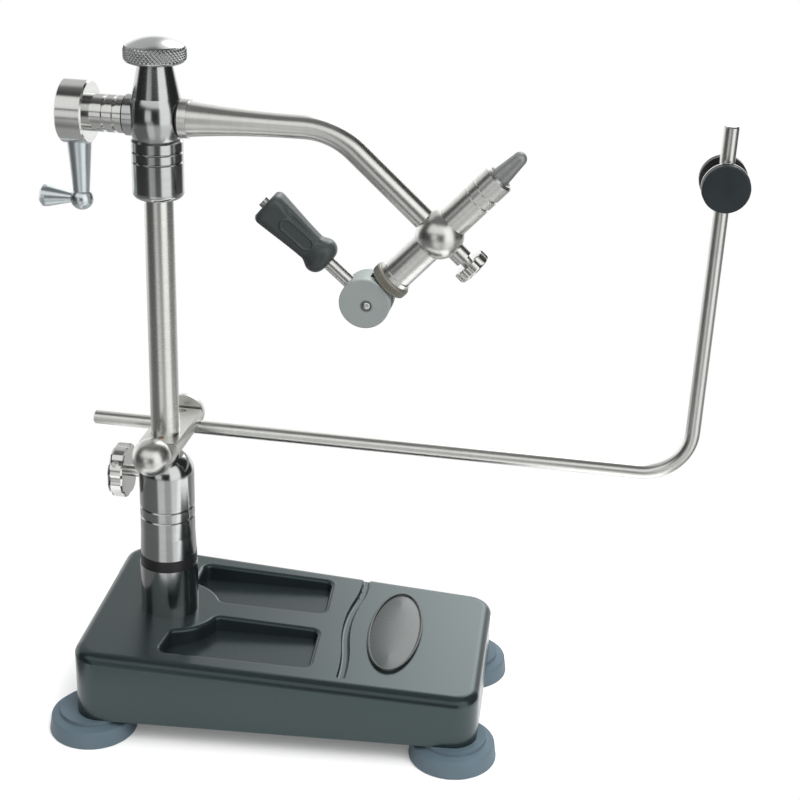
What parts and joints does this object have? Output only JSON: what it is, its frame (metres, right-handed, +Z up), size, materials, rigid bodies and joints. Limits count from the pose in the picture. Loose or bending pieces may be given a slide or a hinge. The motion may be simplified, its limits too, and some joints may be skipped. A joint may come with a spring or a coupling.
{
  "type": "fly tying vise",
  "caption": "Pedestal fly tying vise: weighted base with trays, upright stem, rotary head with crank, cam-lever collet jaws on a swan-neck arm, and a bent thread cradle.",
  "frame": {"origin": "centre of the box's underside, on the surface that the feet stand on", "axes": "+X along the rotary axis from the crank to the jaws, +Z up along the stem"},
  "size_m": [0.233, 0.098, 0.2419],
  "materials": {
    "base_paint": "satin slate grey paint on a casting",
    "plate": "plain satin oval plate",
    "foot_rubber": "matte blue-grey rubber",
    "black_band": "black satin band",
    "chrome": "polished",
    "dark_nickel": "polished dark nickel",
    "satin_steel": "bright satin",
    "dark_steel": "dark matte hardened steel",
    "cam_steel": "matte grey",
    "ring_steel": "knurled brown-grey",
    "grip_plastic": "charcoal moulded plastic",
    "black_rubber": "matte black",
    "bronze": "plain bearing bronze",
    "screw_steel": "zinc plated"
  },
  "bodies": {
    "base": {"base_casting": "base_paint", "badge_plate": "plate", "foot_front_left": "foot_rubber", "foot_front_right": "foot_rubber", "foot_rear_left": "foot_rubber", "foot_rear_right": "foot_rubber", "foot_screws": "screw_steel", "socket_ring": "chrome", "band_washer": "black_band", "column": "chrome", "column_bolt": "screw_steel", "bolt_washer": "screw_steel", "stem_lock_shoe": "bronze"},
    "stem_lock": {"stem_lock_screw": "satin_steel", "stem_lock_knob": "chrome"},
    "mast": {"stem": "satin_steel", "rotary_housing": "dark_nickel", "bush_rear": "bronze", "bush_front": "bronze", "thrust_washer_rear": "black_band", "thrust_washer_front": "black_band", "drag_shoe": "bronze"},
    "drag": {"drag_screw": "satin_steel", "drag_knob": "dark_nickel"},
    "rotor": {"spindle": "satin_steel", "spindle_collar": "chrome", "crank_hub": "satin_steel", "hub_screw": "screw_steel", "crank_arm": "chrome", "crank_knob": "chrome", "swan_neck_arm": "satin_steel", "jaw_lock_shoe": "bronze"},
    "jaw_lock": {"jaw_lock_screw": "satin_steel", "jaw_lock_knob": "satin_steel"},
    "jaw_head": {"jaw_tube": "satin_steel"},
    "ring": {"adjusting_ring": "ring_steel"},
    "collet": {"collet_jaws": "dark_steel", "draw_rod": "satin_steel", "cam_pin": "satin_steel", "return_spring": "screw_steel"},
    "lever": {"cam_disc": "cam_steel", "lever_rod": "chrome", "lever_grip": "grip_plastic", "grip_screw": "screw_steel"},
    "clamp": {"clamp_block": "satin_steel", "rod_set_screw": "screw_steel", "clamp_shoe": "bronze"},
    "clamp_lock": {"clamp_screw": "satin_steel", "clamp_ball_knob": "chrome"},
    "cradle": {"cradle_rod": "satin_steel"},
    "bobbin": {"spool_hub": "dark_steel", "spool_rim_front": "chrome", "spool_rim_rear": "chrome", "spool_disc_front": "black_rubber", "spool_disc_rear": "black_rubber"}
  },
  "joints": [
    {"name": "mast_slide", "type": "slide", "parent": "base", "child": "mast", "axis": [0, 0, 1], "range_m": [0, 0.03]},
    {"name": "stem_lock_turn", "type": "hinge", "parent": "base", "child": "stem_lock", "pos_m": [-0.07561, -0.00043, 0.08699], "axis": [-1, 0, 0], "range_deg": [0, 360]},
    {"name": "drag_turn", "type": "hinge", "parent": "mast", "child": "drag", "pos_m": [-0.07561, -0.00043, 0.21599], "axis": [0, 0, 1], "range_deg": [0, 360]},
    {"name": "rotor_turn", "type": "hinge", "parent": "mast", "child": "rotor", "pos_m": [-0.07561, -0.00043, 0.21599], "axis": [1, 0, 0], "continuous": true},
    {"name": "jaw_lock_turn", "type": "hinge", "parent": "rotor", "child": "jaw_lock", "pos_m": [0.01885, -0.00043, 0.18393], "axis": [0.7385, 0, -0.6743], "range_deg": [0, 360]},
    {"name": "jaw_head_slide", "type": "slide", "parent": "rotor", "child": "jaw_head", "axis": [0.6743, 0, 0.7385], "range_m": [-0.008, 0.006]},
    {"name": "ring_turn", "type": "hinge", "parent": "jaw_head", "child": "ring", "pos_m": [0.01885, -0.00043, 0.18393], "axis": [0.6743, 0, 0.7385], "range_deg": [-180, 180]},
    {"name": "collet_draw", "type": "slide", "parent": "jaw_head", "child": "collet", "axis": [0.6743, 0, 0.7385], "range_m": [0, 0.001], "deforming": ["return_spring"]},
    {"name": "lever_swing", "type": "hinge", "parent": "collet", "child": "lever", "pos_m": [-0.00379, -0.00043, 0.15914], "axis": [0, -1, 0], "range_deg": [0, 90]},
    {"name": "clamp_swivel", "type": "hinge", "parent": "mast", "child": "clamp", "pos_m": [-0.07561, -0.00043, 0.10099], "axis": [0, 0, 1], "range_deg": [-40, 40]},
    {"name": "clamp_lock_turn", "type": "hinge", "parent": "clamp", "child": "clamp_lock", "pos_m": [-0.07561, -0.00043, 0.10099], "axis": [0, -1, 0], "range_deg": [0, 360]},
    {"name": "cradle_slide", "type": "slide", "parent": "clamp", "child": "cradle", "axis": [1, 0, 0], "range_m": [-0.03, 0.02]},
    {"name": "bobbin_slide", "type": "slide", "parent": "cradle", "child": "bobbin", "axis": [0.0133, 0, 0.9999], "range_m": [-0.05, 0.01]}
  ],
  "couplings": [
    {"joint": "collet_draw", "follows": "lever_swing", "m_per_rad": 0.00063662}
  ]
}
